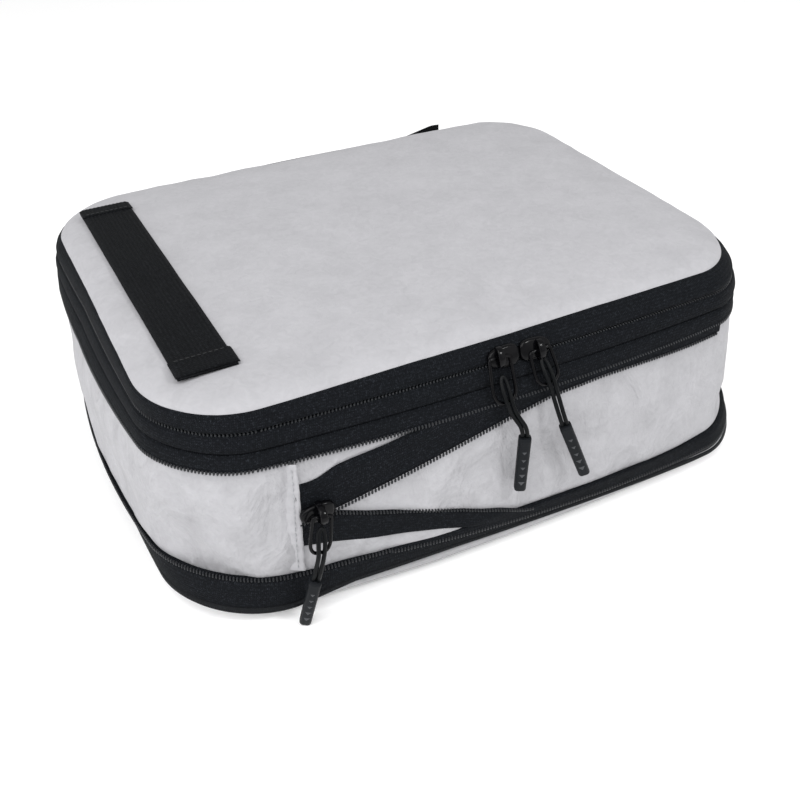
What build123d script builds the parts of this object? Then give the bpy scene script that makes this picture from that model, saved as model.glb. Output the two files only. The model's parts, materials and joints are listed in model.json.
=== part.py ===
"""Expandable compression packing cube, built as separate sewn and moving pieces.

Millimetres. The origin is the centre of the bottom panel's flat face, +X runs along the
long side, the zip pulls are on the -Y side and +Z is up. The cube is shown expanded.
"""

from build123d import *
import math
import os

os.makedirs("parts", exist_ok=True)

# ---- driving dimensions ----
LENGTH = 292.0  # over the upper ring
WIDTH = 218.0
CORNER_RADIUS = 56.0
BULGE = 6.0  # how much further out the lower ring stands on every side
TRAVEL = 48.0  # how far the upper ring comes down when the compression zip is closed

# ---- levels, from the table up ----
Z_FLOOR = 3.0  # inside of the bottom panel
Z_PANEL_RIM = 6.6
Z_BAND = 9.2
Z_LOWER_TAPE = 15.6
Z_LOWER_COIL = 21.2
Z_LOWER_TEETH = 23.2
Z_UPPER_TEETH = 75.0
Z_UPPER_TAPE = 77.0
Z_FOLD = 83.0
Z_MAIN_ZIP = 92.0
Z_LID_SEAM = 97.8

# ---- cloth, tape and coil sections ----
CLOTH = 1.0
TAPE = 1.4
COIL_PROUD = 0.6
COIL_HEIGHT = 1.3
COIL_GAP = 0.4  # half of the gap that the slider's post runs in
GATHER = 0.7  # side play between two telescoping walls
TAPE_PROUD = 0.4  # stand-out of the compression tapes from the ring they are sewn to
TEETH_PROUD = 0.7
PIPING_PROUD = 0.5
PIPING_INSIDE = 3.5  # the panel's turned-up edge stops this far inside the lower ring
BINDING = 0.8
BINDING_HEIGHT = 4.0
LEAN = 7.0  # how far the main zip band leans in between the fold and the lid seam

# ---- lid ----
PANEL_THICKNESS = 2.5
DOME = [(3.4, 42.0), (2.0, 60.0), (1.2, 72.0)]  # rise and lean of each step of the lid's edge
HINGE_CORD_DIAMETER = 2.4
HINGE_LENGTH = 168.0
COIL_OPENING = 202.0  # the coils end here, a little round the back corners, clear of the opening lid

# ---- handles ----
WEBBING_WIDTH = 25.0
WEBBING = 1.5
STRAP_X = -114.5
STRAP_BACK_Y = 74.0
STRAP_LENGTH = 153.0
STRAP_HEM = 9.0
REAR_HANDLE_LENGTH = 160.0
REAR_HANDLE_STAND = 4.5
REAR_HANDLE_TOP = 90.6

# ---- zip runners ----
PLATE_LENGTH = 12.0
PLATE_HEIGHT = 7.5
PLATE_OVER = 0.3  # how far the plate reaches past the zip line, under the lid's coil
PLATE = 1.35
PLATE_CLEARANCE = 0.25
CROWN_WIDTH = 3.0
CROWN_RISE = 5.0
WIRE = 1.8
HOOP_WIDTH = 11.0
HOOP_HEIGHT = 19.8
HOOP_CORNER = 2.8
CORD_DIAMETER = 1.9
CORD_LOOP_HALF = 2.05
CORD_LOOP_RADIUS = 1.8
GRIP_LENGTH = 29.0
SLIDER_RISE = 7.3  # the compression slider stands this far above the start of its zip
GRIP_SIZE = (5.6, 4.8)

# ---- worked out from the above ----
LEAN_ANGLE = math.degrees(math.atan2(LEAN, Z_LID_SEAM - Z_FOLD))
LEAN_PER_MM = LEAN / (Z_LID_SEAM - Z_FOLD)
Z_LID_TOP = Z_LID_SEAM + sum(rise for rise, _ in DOME)

# inset of each telescoping wall from the upper ring's outline, and the heights it spans
LOWER_WALL = TAPE + 0.3 - BULGE
MIDDLE_WALL = LOWER_WALL + CLOTH + GATHER
UPPER_WALL = TAPE
LOWER_WALL_TOP = 31.0
FOLD_CLEARANCE = 0.6  # left between the folded walls and the floor
MIDDLE_WALL_BOTTOM = Z_FLOOR + FOLD_CLEARANCE + BINDING_HEIGHT + TRAVEL / 2 - 1.0
MIDDLE_WALL_TOP = 55.0
UPPER_WALL_BOTTOM = Z_FLOOR + FOLD_CLEARANCE + TRAVEL


def save(builder, name):
    """Labels a finished piece and writes it to its own file."""
    builder.part.label = name
    export_step(builder.part, f"parts/{name}.step")


def outline(inset):
    """Adds the cube's plan outline, drawn in by inset, to the sketch in hand."""
    RectangleRounded(LENGTH - 2 * inset, WIDTH - 2 * inset, CORNER_RADIUS - inset)


def lean_inset(z):
    """Inset of the main zip band's outer face at height z."""
    return (z - Z_FOLD) * LEAN_PER_MM


def wall_ring(low, high, inset, thickness, taper=0.0):
    """A wall all the way round the cube, between two heights."""
    with BuildPart() as ring:
        with BuildSketch(Plane.XY.offset(low)):
            outline(inset)
        extrude(amount=high - low, taper=taper)
        with BuildSketch(Plane.XY.offset(low)):
            outline(inset + thickness)
        extrude(amount=high - low, taper=taper, mode=Mode.SUBTRACT)
    return ring


def open_at_back(ring, name):
    """The same ring with its back opened for the lid's hinge."""
    with BuildPart() as opened:
        add(ring.part)
        with Locations((0, WIDTH / 2, Z_MAIN_ZIP)):
            Box(COIL_OPENING, 30, 10, mode=Mode.SUBTRACT)
    save(opened, name)


# ---------------------------------------------------------------- base

PAN_LEAN = 52.0  # lean of the bottom panel's turned-up edge
with BuildPart() as bottom_panel:
    with BuildSketch(Plane.XY.offset(Z_PANEL_RIM)):
        outline(-BULGE + 1.0)
    extrude(amount=-Z_PANEL_RIM, taper=PAN_LEAN)
    with BuildSketch(Plane.XY.offset(Z_PANEL_RIM)):
        outline(-BULGE + PIPING_INSIDE)
    extrude(amount=Z_FLOOR - Z_PANEL_RIM, taper=PAN_LEAN, mode=Mode.SUBTRACT)
save(bottom_panel, "bottom_panel")

RING_DEPTH = BULGE + LOWER_WALL  # from the lower ring's outline to the gusset wall
save(
    wall_ring(Z_PANEL_RIM, Z_BAND, -BULGE - PIPING_PROUD, RING_DEPTH + PIPING_PROUD),
    "bottom_piping",
)
save(wall_ring(Z_BAND, Z_LOWER_TAPE, -BULGE, RING_DEPTH), "bottom_band")
save(
    wall_ring(Z_LOWER_TAPE, Z_LOWER_COIL, -BULGE - TAPE_PROUD, RING_DEPTH + TAPE_PROUD),
    "compression_tape_lower",
)
save(
    wall_ring(Z_LOWER_COIL, Z_LOWER_TEETH, -BULGE - TEETH_PROUD, RING_DEPTH + TEETH_PROUD),
    "compression_coil_lower",
)
save(wall_ring(Z_PANEL_RIM, LOWER_WALL_TOP, LOWER_WALL, CLOTH), "gusset_lower")
save(
    wall_ring(Z_FLOOR, Z_FLOOR + 1.5 * BINDING_HEIGHT, UPPER_WALL + CLOTH + 0.4, BINDING),
    "bottom_seam_binding",
)

# ------------------------------------------- middle of the folding gusset

save(
    wall_ring(MIDDLE_WALL_BOTTOM, MIDDLE_WALL_TOP, MIDDLE_WALL, CLOTH),
    "gusset_middle",
)

# ---------------------------------------------------------- upper ring

save(wall_ring(UPPER_WALL_BOTTOM, Z_FOLD, UPPER_WALL, CLOTH), "gusset_upper")
save(
    wall_ring(Z_UPPER_TEETH, Z_UPPER_TAPE, -TEETH_PROUD, TAPE + TEETH_PROUD),
    "compression_coil_upper",
)
save(
    wall_ring(Z_UPPER_TAPE, Z_FOLD, -TAPE_PROUD, TAPE + TAPE_PROUD), "compression_tape_upper"
)
save(
    wall_ring(Z_FOLD - BINDING_HEIGHT, Z_FOLD, UPPER_WALL + CLOTH, BINDING), "upper_seam_binding"
)

body_coil_low = Z_MAIN_ZIP - COIL_GAP - COIL_HEIGHT
save(wall_ring(Z_FOLD, body_coil_low, 0.0, TAPE, LEAN_ANGLE), "main_zip_tape_body")

body_coil = wall_ring(
    body_coil_low,
    Z_MAIN_ZIP - COIL_GAP,
    lean_inset(body_coil_low) - COIL_PROUD,
    TAPE + COIL_PROUD,
    LEAN_ANGLE,
)
open_at_back(body_coil, "main_zip_coil_body")

# ---------------------------------------------------------------- lid

lid_coil_low = Z_MAIN_ZIP + COIL_GAP
lid_tape_low = lid_coil_low + COIL_HEIGHT
lid_coil = wall_ring(
    lid_coil_low,
    lid_tape_low,
    lean_inset(lid_coil_low) - COIL_PROUD,
    TAPE + COIL_PROUD,
    LEAN_ANGLE,
)
open_at_back(lid_coil, "main_zip_coil_lid")
save(
    wall_ring(lid_tape_low, Z_LID_SEAM, lean_inset(lid_tape_low), TAPE, LEAN_ANGLE),
    "main_zip_tape_lid",
)


def dome(shrink):
    """The stepped dome of the lid, drawn in by shrink."""
    level, inset = Z_LID_SEAM, LEAN + shrink
    with BuildPart() as body:
        for rise, lean in DOME:
            with BuildSketch(Plane.XY.offset(level)):
                outline(inset)
            extrude(amount=rise, taper=lean)
            level += rise
            inset += rise * math.tan(math.radians(lean))
    return body.part


with BuildPart() as lid_panel:
    add(dome(0.0))
    with BuildPart(mode=Mode.PRIVATE) as hollow:
        add(dome(PANEL_THICKNESS))
        split(bisect_by=Plane.XY.offset(Z_LID_TOP - PANEL_THICKNESS), keep=Keep.BOTTOM)
    add(hollow.part, mode=Mode.SUBTRACT)
save(lid_panel, "lid_panel")

save(
    wall_ring(Z_LID_SEAM - BINDING_HEIGHT, Z_LID_SEAM, LEAN + TAPE, BINDING), "lid_seam_binding"
)

hinge_y = WIDTH / 2 - lean_inset(Z_MAIN_ZIP) - TAPE / 2
hinge_start = Plane(
    origin=(-HINGE_LENGTH / 2, hinge_y, Z_MAIN_ZIP), x_dir=(0, 1, 0), z_dir=(1, 0, 0)
)
with BuildPart() as lid_hinge_cord:
    with BuildSketch(hinge_start):
        Circle(HINGE_CORD_DIAMETER / 2)
    extrude(amount=HINGE_LENGTH)
save(lid_hinge_cord, "lid_hinge_cord")

# flat elastic strap, its two ends folded under and stitched to the panel
strap_ends = (STRAP_BACK_Y - STRAP_LENGTH, STRAP_BACK_Y)
strap_mid = STRAP_BACK_Y - STRAP_LENGTH / 2
hem_inner = (strap_ends[0] + STRAP_HEM, strap_ends[1] - STRAP_HEM)
strap_top = Z_LID_TOP + 2 * WEBBING
strap_under = Z_LID_TOP + WEBBING
STRAP_ARCH = 0.8
STRAP_STEP = 3.0  # length over which the single webbing rises off its hem
with BuildPart() as handle_strap:
    with BuildSketch(Plane.YZ.offset(STRAP_X - WEBBING_WIDTH / 2)):
        with BuildLine():
            top = ThreePointArc(
                (strap_ends[0], strap_top), (strap_mid, strap_top + STRAP_ARCH), (strap_ends[1], strap_top)
            )
            under = ThreePointArc(
                (hem_inner[0] + STRAP_STEP, strap_under),
                (strap_mid, strap_under + STRAP_ARCH),
                (hem_inner[1] - STRAP_STEP, strap_under),
            )
            Polyline(
                under @ 0, (hem_inner[0], Z_LID_TOP), (strap_ends[0], Z_LID_TOP), top @ 0
            )
            Polyline(
                under @ 1, (hem_inner[1], Z_LID_TOP), (strap_ends[1], Z_LID_TOP), top @ 1
            )
        make_face()
    extrude(amount=WEBBING_WIDTH)
save(handle_strap, "handle_strap")

# grab handle at the back, its folded ends sewn to the fold of the upper ring
handle_wall = WIDTH / 2 + 0.4
handle_inner = WIDTH / 2 + BULGE + 1.4  # passes outside the lower ring
handle_end = REAR_HANDLE_LENGTH / 2
with BuildPart() as rear_handle:
    with BuildSketch(Plane.XY.offset(REAR_HANDLE_TOP - WEBBING_WIDTH)):
        with BuildLine():
            inner = ThreePointArc(
                (-handle_end, handle_inner),
                (0, handle_inner + REAR_HANDLE_STAND),
                (handle_end, handle_inner),
            )
            outer = ThreePointArc(
                (-handle_end, handle_inner + WEBBING),
                (0, handle_inner + REAR_HANDLE_STAND + WEBBING),
                (handle_end, handle_inner + WEBBING),
            )
            Line(inner @ 0, outer @ 0)
            Line(inner @ 1, outer @ 1)
        make_face()
    extrude(amount=WEBBING_WIDTH)
    pad_depth = handle_inner + 0.6 - handle_wall
    pad_low = LOWER_WALL_TOP + TRAVEL + 0.8
    for side in (-1, 1):
        with BuildSketch(Plane.XY.offset(pad_low)):
            with Locations((side * (handle_end - STRAP_HEM / 2), handle_wall + pad_depth / 2)):
                Rectangle(STRAP_HEM, pad_depth)
        extrude(amount=REAR_HANDLE_TOP - pad_low)
save(rear_handle, "rear_handle")

# metal stops that end the main zip at the hinge
with BuildPart() as main_zip_stops:
    for side in (-1, 1):
        with Locations((side * (COIL_OPENING / 2 - 0.8), hinge_y - 0.8, Z_MAIN_ZIP)):
            Box(1.4, 2.0, 0.6)
save(main_zip_stops, "main_zip_stops")

# ----------------------------------------------- start of the compression zip

SEAM_X = -96.5
START_X = -88.0
START_Z = 51.0
STRIP = 1.0

# the plane of the gusset's front face, leaning in from the lower ring to the upper one
front_low = WIDTH / 2 + BULGE - 0.6
front_high = WIDTH / 2 + 1.8
front_rise = Z_UPPER_TEETH - Z_LOWER_TEETH
front_lean = math.degrees(math.atan2(front_low - front_high, front_rise))
front_face = Plane(
    origin=(0, -front_low, Z_LOWER_TEETH), x_dir=(1, 0, 0), z_dir=(0, -1, 0)
).rotated((-front_lean, 0, 0))


def front_strip(points, thickness, name):
    """A flat strip on the gusset's front face from its corners (x, height over the lower coil)."""
    with BuildPart() as strip:
        with BuildSketch(front_face):
            with BuildLine():
                Polyline(*points, close=True)
            make_face()
        extrude(amount=thickness)
    save(strip, name)


strip_left = SEAM_X + 4.5
start_height = START_Z - Z_LOWER_TEETH
top_height = front_rise - 0.6
UPPER_RUN_END = 55.0
LOWER_RUN_END = 0.0
COIL_STRIP = 2.0
upper_edge = [(START_X + 6, start_height + 1.2), (-16, 37.0), (UPPER_RUN_END, top_height - 4)]
lower_edge = [(START_X + 6, start_height - 1.2), (-41, 11.5), (LOWER_RUN_END, 4.5)]


def shifted(points, rise):
    return [(x, height + rise) for x, height in points]


front_strip(
    [(strip_left, 40.5), (-78, 41.5), (-62, top_height - 4), (-45, top_height)]
    + [(UPPER_RUN_END, top_height)]
    + shifted(upper_edge[::-1], COIL_STRIP + 0.1)
    + [(strip_left, start_height + COIL_STRIP + 1.3)],
    STRIP,
    "start_tape_upper",
)
front_strip(
    upper_edge + shifted(upper_edge[::-1], COIL_STRIP), STRIP + 0.4, "start_coil_upper"
)
front_strip(
    shifted(lower_edge, -COIL_STRIP - 0.1)
    + [(LOWER_RUN_END, 0.4), (-34, 0.4), (-80, 8.0), (strip_left, 8.0)]
    + [(strip_left, start_height - COIL_STRIP - 1.3)],
    STRIP,
    "start_tape_lower",
)
front_strip(
    lower_edge + shifted(lower_edge[::-1], -COIL_STRIP), STRIP + 0.4, "start_coil_lower"
)
front_strip(
    [(SEAM_X - 5, 0.4), (SEAM_X + 4, 0.4), (SEAM_X + 4, top_height), (SEAM_X - 5, top_height)],
    STRIP,
    "seam_flap",
)

# metal stop that holds the two halves of the compression zip together at its start
STOP_BACK, STOP_DEPTH = WIDTH / 2 - LOWER_WALL + 0.35, 1.75
with BuildPart() as start_stop:
    with Locations((strip_left + 1.6, -STOP_BACK - STOP_DEPTH / 2, START_Z)):
        Box(2.4, STOP_DEPTH, 1.6)
save(start_stop, "start_stop")

# ------------------------------------------------------------ zip runners


def hanging(lean, tilt):
    """Unit vector that hangs down, swung sideways by lean and out of the wall by tilt."""
    a, b = math.radians(lean), math.radians(tilt)
    return Vector(math.sin(a) * math.cos(b), -math.sin(b), -math.cos(a) * math.cos(b))


def slider(base, inner, name):
    """A zip slider on its base plane: x along the zip, z out of the wall."""
    face = COIL_PROUD + PLATE_CLEARANCE
    leg = 1.2
    opening = WIRE + 2.4
    plate_y = PLATE_OVER - PLATE_HEIGHT / 2
    crown_y = PLATE_OVER - opening / 2 - leg
    with BuildPart() as body:
        with BuildSketch(base.offset(face)):
            with Locations((0, plate_y)):
                RectangleRounded(PLATE_LENGTH, PLATE_HEIGHT, 2.0)
        extrude(amount=PLATE)
        with BuildSketch(base.offset(face + PLATE)):
            with Locations((0, crown_y)):
                Rectangle(CROWN_WIDTH, opening + 2 * leg)
        extrude(amount=CROWN_RISE)
        with BuildSketch(base.offset(face + PLATE)):
            with Locations((0, crown_y)):
                Rectangle(CROWN_WIDTH, opening)
        extrude(amount=CROWN_RISE - leg, mode=Mode.SUBTRACT)
        if inner:
            with BuildSketch(base.offset(-TAPE - PLATE_CLEARANCE)):
                with Locations((0, plate_y + 1.5)):
                    RectangleRounded(PLATE_LENGTH, PLATE_HEIGHT, 2.0)
            extrude(amount=-1.0)
            with Locations(base.origin + Vector(0, 0.6, 0)):
                Box(3.0, 4.2, 0.5)
    save(body, name)
    rise = face + PLATE + (CROWN_RISE - leg) / 2
    return base.origin + base.y_dir * crown_y + base.z_dir * rise


def hoop(pivot, lean, tilt, name):
    """A round wire hoop hung on the pivot; returns its lower bar's centre and direction."""
    down = hanging(lean, tilt)
    bar = Vector(math.cos(math.radians(lean)), 0, math.sin(math.radians(lean)))
    half = (HOOP_WIDTH - WIRE) / 2
    drop = HOOP_HEIGHT - WIRE
    frame = Plane(origin=pivot, x_dir=bar, z_dir=bar.cross(-down))
    with BuildPart() as ring:
        with BuildLine(frame) as path:
            FilletPolyline(
                (half, 0), (half, -drop), (-half, -drop), (-half, 0), radius=HOOP_CORNER, close=True
            )
        with BuildSketch(Plane(path.wire() ^ 0)):
            Circle(WIRE / 2)
        sweep(path=path.wire())
    save(ring, name)
    length = path.wire().length
    print(name, "volume over section x length", round(ring.part.volume / (length * math.pi * WIRE**2 / 4), 3))
    return pivot + down * drop, bar, down


def corner_radii(points):
    """The largest tangent arc that each inner corner of a route has room for."""
    radii = []
    for before, here, after in zip(points, points[1:], points[2:]):
        a, b = Vector(*here) - Vector(*before), Vector(*after) - Vector(*here)
        turn = math.radians(a.get_angle(b))
        radii.append(0.45 * min(a.length, b.length) / math.tan(turn / 2))
    return radii


def cord(pivot, across, down, drop, name):
    """A cord looped round the hoop's lower bar, its two strands side by side at the grip."""
    frame = Plane(origin=pivot, x_dir=across, z_dir=across.cross(-down))
    half, mouth = CORD_LOOP_HALF, CORD_DIAMETER / 2 + 0.03
    points = [(-mouth, -drop), (-half, -drop * 0.35), (-half, half), (half, half)]
    points += [(half, -drop * 0.35), (mouth, -drop)]
    radii = corner_radii(points)
    radii[1] = radii[2] = CORD_LOOP_RADIUS
    with BuildPart() as loop:
        with BuildLine(frame) as path:
            FilletPolyline(*points, radius=radii)
        with BuildSketch(Plane(path.wire() ^ 0)):
            Circle(CORD_DIAMETER / 2)
        sweep(path=path.wire())
    save(loop, name)
    length = path.wire().length
    share = loop.part.volume / (length * math.pi * CORD_DIAMETER**2 / 4)
    print(name, "radii", [round(r, 2) for r in radii], "length", round(length, 1), round(share, 3))
    return pivot + down * drop


def grip(mouth, lean, tilt, name):
    """The moulded rubber grip that the cord's ends go into."""
    down = hanging(lean, tilt)
    side = Vector(math.cos(math.radians(lean)), 0, math.sin(math.radians(lean)))
    with BuildPart() as body:
        with BuildSketch(Plane(origin=mouth, x_dir=side, z_dir=down)):
            RectangleRounded(*GRIP_SIZE, 1.7)
        extrude(amount=GRIP_LENGTH)
        fillet(body.faces().sort_by(Axis(mouth, down))[-1].edges(), 0.9)
    save(body, name)


def runner(name, base, inner, hoop_hang, cord_swing, cord_drop, grip_hang):
    """A slider with its hoop, cord and grip; the cord swings sideways from the hoop's line."""
    pivot = slider(base, inner, f"{name}_slider")
    lower_bar, bar, down = hoop(pivot, *hoop_hang, f"{name}_hoop")
    turn = math.radians(cord_swing)
    cord_down = down * math.cos(turn) + bar * math.sin(turn)
    mouth = cord(lower_bar, bar.cross(down), cord_down, cord_drop, f"{name}_cord")
    grip(mouth, *grip_hang, f"{name}_grip")
    print(name, "pivot", pivot, "bar", bar, "lower bar", lower_bar, "mouth", mouth)


def main_zip_plane(x):
    """Where a slider sits on the front run of the main zip."""
    angle = math.radians(LEAN_ANGLE)
    return Plane(
        origin=(x, -(WIDTH / 2 - lean_inset(Z_MAIN_ZIP)), Z_MAIN_ZIP),
        x_dir=(1, 0, 0),
        z_dir=(0, -math.cos(angle), math.sin(angle)),
    )


runner("left", main_zip_plane(-7.4), True, (-3.0, 26.0), 18.0, 16.5, (-1.0, 2.0))
runner("right", main_zip_plane(10.6), True, (5.0, 26.0), 5.0, 16.5, (21.0, 2.0))
compression_base = Plane(
    origin=(START_X, -(WIDTH / 2 + BULGE + 0.2), START_Z + SLIDER_RISE), x_dir=(1, 0, 0), z_dir=(0, -1, 0)
)
runner("compression", compression_base, False, (-10.0, 8.0), 0.0, 9.0, (-9.5, -11.0))
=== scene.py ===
"""Expanded packing cube: crinkle nylon, zip bands, straps and three cord-pull zips."""
import bmesh
import bpy
import json
import math
import numpy as np
from mathutils import Matrix, Vector, noise


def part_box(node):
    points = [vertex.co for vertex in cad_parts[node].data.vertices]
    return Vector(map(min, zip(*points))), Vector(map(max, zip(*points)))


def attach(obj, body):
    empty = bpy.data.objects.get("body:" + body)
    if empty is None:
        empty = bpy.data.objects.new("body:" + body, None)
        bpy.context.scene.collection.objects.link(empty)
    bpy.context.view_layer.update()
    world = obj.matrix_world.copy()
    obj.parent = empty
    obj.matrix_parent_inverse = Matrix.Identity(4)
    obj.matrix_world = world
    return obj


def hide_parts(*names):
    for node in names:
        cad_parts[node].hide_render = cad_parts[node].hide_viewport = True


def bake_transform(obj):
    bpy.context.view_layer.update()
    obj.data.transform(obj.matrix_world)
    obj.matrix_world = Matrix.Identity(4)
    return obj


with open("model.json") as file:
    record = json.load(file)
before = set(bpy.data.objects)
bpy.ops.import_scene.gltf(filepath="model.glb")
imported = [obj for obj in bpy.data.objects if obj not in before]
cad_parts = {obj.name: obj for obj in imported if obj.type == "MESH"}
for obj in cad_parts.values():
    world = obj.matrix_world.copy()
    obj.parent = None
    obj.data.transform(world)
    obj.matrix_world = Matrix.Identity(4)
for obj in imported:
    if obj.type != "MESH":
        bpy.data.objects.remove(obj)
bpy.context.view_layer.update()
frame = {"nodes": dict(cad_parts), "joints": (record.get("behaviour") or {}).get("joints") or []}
JOINT = {j["name"]: j for j in frame["joints"]}
MM = 0.001

# ------------------------------------------------------------ camera and light

AZ, EL, ROLL = (math.radians(a) for a in (-25.44, 35.67, -1.29))
back = Vector((math.sin(AZ) * math.cos(EL), -math.cos(AZ) * math.cos(EL), math.sin(EL)))
level_right = Vector((math.cos(AZ), math.sin(AZ), 0))
level_up = back.cross(level_right)
cam_right = level_right * math.cos(ROLL) + level_up * math.sin(ROLL)
cam_up = level_up * math.cos(ROLL) - level_right * math.sin(ROLL)
cam_data = bpy.data.cameras.new("camera")
cam_data.sensor_width = 36
cam_data.lens = 43.61
cam_data.shift_x = 0.005
cam_data.shift_y = -0.0131
camera = bpy.data.objects.new("camera", cam_data)
bpy.context.collection.objects.link(camera)
camera.matrix_world = (
    Matrix.Translation((-0.1760, -0.3701, 0.3011))
    @ Matrix((cam_right, cam_up, back)).transposed().to_4x4()
)
bpy.context.scene.camera = camera
bpy.context.scene.view_settings.view_transform = "Standard"

world = bpy.data.worlds.new("studio")
world.use_nodes = True
world.node_tree.nodes["Background"].inputs["Color"].default_value = (1, 1, 1, 1)
world.node_tree.nodes["Background"].inputs["Strength"].default_value = 0.74
bpy.context.scene.world = world


def lamp(name, place, aim, size, power):
    """A rectangular lamp at a place, aimed at a point."""
    data = bpy.data.lights.new(name, "AREA")
    data.shape, data.size, data.size_y, data.energy = "RECTANGLE", size[0], size[1], power
    o = bpy.data.objects.new(name, data)
    o.location = place
    o.rotation_euler = (Vector(aim) - Vector(place)).to_track_quat("-Z", "Y").to_euler()
    bpy.context.collection.objects.link(o)


lamp("key", (-0.5, -0.5, 1.1), (0, 0, 0.05), (0.9, 0.9), 9)
lamp("fill", (0.7, -0.9, 0.6), (0, 0, 0.05), (0.8, 0.8), 0.8)
lamp("strip", (-0.9, -0.2, 0.35), (-0.1, -0.1, 0.07), (0.15, 0.8), 2.5)
lamp("spark", (0.38, -0.75, 0.85), (0, -0.1, 0.06), (0.16, 0.16), 3.6)

# ------------------------------------------------------------ materials


def node(tree, kind, links=(), **props):
    """Adds a node; props name its settings, and keys ending in _ its input sockets."""
    n = tree.nodes.new("ShaderNode" + kind)
    for key, value in props.items():
        if key.endswith("_"):
            n.inputs[key[:-1].replace("_", " ")].default_value = value
        else:
            setattr(n, key, value)
    for socket, source in links:
        tree.links.new(source, n.inputs[socket])
    return n


def add(tree, a, b, operation="ADD"):
    """A math node on two sockets or numbers; adds them unless told otherwise."""
    n = node(tree, "Math", operation=operation)
    for k, v in enumerate((a, b)):
        if isinstance(v, (int, float)):
            n.inputs[k].default_value = v
        else:
            tree.links.new(v, n.inputs[k])
    return n.outputs[0]


def start_material(name, colour, roughness, **sockets):
    """A plain material, its node tree and its shader; sockets name inputs of the shader."""
    m = bpy.data.materials.new(name)
    m.use_nodes = True
    tree = m.node_tree
    shader = tree.nodes["Principled BSDF"]
    shader.inputs["Base Color"].default_value = (*colour, 1)
    shader.inputs["Roughness"].default_value = roughness
    for key, value in sockets.items():
        shader.inputs[key.replace("_", " ")].default_value = value
    return m, tree, shader


def ramp(tree, source, *stops):
    """Colours by value: each stop is (value, colour)."""
    r = node(tree, "ValToRGB")
    r.color_ramp.elements[0].position = stops[0][0]
    r.color_ramp.elements[1].position = stops[-1][0]
    for place, _ in stops[1:-1]:
        r.color_ramp.elements.new(place)
    for element, (_, colour) in zip(r.color_ramp.elements, stops):
        element.color = (*colour, 1)
    tree.links.new(source, r.inputs[0])
    return r.outputs[0]


def bump(tree, shader, height, strength, distance):
    """Bumps the surface of a shader by a height."""
    b = node(tree, "Bump", [("Height", height)], Strength_=strength, Distance_=distance)
    tree.links.new(b.outputs[0], shader.inputs["Normal"])


def noise_of(tree, coords, scale, detail, distortion=0.0):
    """The value of a noise texture."""
    return node(
        tree, "TexNoise", [("Vector", coords)], Scale_=scale, Detail_=detail, Distortion_=distortion
    ).outputs["Fac"]


def nylon(name, dark, light, wrinkle=0.0):
    """Crinkled nylon: soft creases, a fine grain, faint random changes of tone and painted shade in the
    crinkle's hollows; wrinkle adds slack folds with painted shade in their hollows.
    """
    m, tree, shader = start_material(
        name, light, 0.72, Sheen_Weight=0.05, Sheen_Roughness=0.5, Specular_IOR_Level=0.3
    )
    coords = node(tree, "TexCoord").outputs["Object"]
    broad = noise_of(tree, coords, 60, 3)
    crinkle = noise_of(tree, coords, 260, 5, 1.2)
    grain = noise_of(tree, coords, 1500, 2)
    cells = node(tree, "TexVoronoi", [("Vector", coords)], feature="DISTANCE_TO_EDGE", Scale_=190)
    folds = add(tree, cells.outputs["Distance"], 1.3, "MULTIPLY")
    creased = add(tree, crinkle, add(tree, folds, 0.35, "MULTIPLY"))
    height = add(tree, creased, add(tree, grain, 0.22, "MULTIPLY"))
    strength, depth = 0.3, 0.0009
    # painted shade: the crinkle that raises the bump also darkens its hollows; the broad noise is random tone
    tone_and_crease_shade = add(tree, add(tree, broad, 0.5, "MULTIPLY"), add(tree, crinkle, 0.5, "MULTIPLY"))
    colour = ramp(tree, tone_and_crease_shade, (0.3, dark), (0.68, light))
    if wrinkle:
        slack = node(tree, "Mapping", [("Vector", coords)], Scale_=(1.0, 1.0, 0.55))
        waves = noise_of(tree, slack.outputs[0], 58, 4, 0.9)
        # painted shade in the slack folds: the colour is darkened where the fold waves sink
        painted_fold_shade = ramp(tree, waves, (0.3, [1 - 0.11 * wrinkle] * 3), (0.56, [1] * 3))
        mix = node(tree, "Mix", data_type="RGBA", blend_type="MULTIPLY")
        mix.inputs["Factor"].default_value = 1.0
        tree.links.new(colour, mix.inputs[6])
        tree.links.new(painted_fold_shade, mix.inputs[7])
        colour = mix.outputs[2]
        height = add(tree, add(tree, height, 0.5, "MULTIPLY"), add(tree, waves, 6 * wrinkle, "MULTIPLY"))
        strength, depth = 0.6, 0.0013
    bump(tree, shader, height, strength, depth)
    tree.links.new(colour, shader.inputs["Base Color"])
    tree.links.new(
        node(tree, "MapRange", [("Value", grain)], To_Min_=0.62, To_Max_=0.82).outputs[0],
        shader.inputs["Roughness"],
    )
    return m


WAVE_SCALE = 0.314  # of the wave texture, for each thread in a metre


def woven(name, base, speck, along, across, strength, roughness, gloss):
    """Black woven tape; along and across are threads a metre in the piece's own UV."""
    m, tree, shader = start_material(name, base, roughness, Specular_IOR_Level=gloss)
    coords = node(tree, "TexCoord").outputs["UV"]
    warp = node(tree, "TexWave", [("Vector", coords)], bands_direction="X", Scale_=along * WAVE_SCALE)
    weft = node(tree, "TexWave", [("Vector", coords)], bands_direction="Y", Scale_=across * WAVE_SCALE)
    place = node(tree, "TexCoord").outputs["Object"]
    fuzz = noise_of(tree, place, 2100, 2)
    dust = noise_of(tree, place, 1000, 3)
    threads = add(tree, warp.outputs["Fac"], weft.outputs["Fac"], "MULTIPLY")
    height = add(tree, threads, add(tree, fuzz, 1.6, "MULTIPLY"))
    bump(tree, shader, height, strength, 0.0004)
    specks = add(tree, add(tree, fuzz, dust, "MULTIPLY"), 1.3, "MULTIPLY")
    mixed = add(tree, add(tree, threads, 0.16, "MULTIPLY"), specks)
    tree.links.new(
        ramp(tree, mixed, (0.16, [c * 0.55 for c in base]), (0.42, base), (0.8, speck)),
        shader.inputs["Base Color"],
    )
    return m


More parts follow.
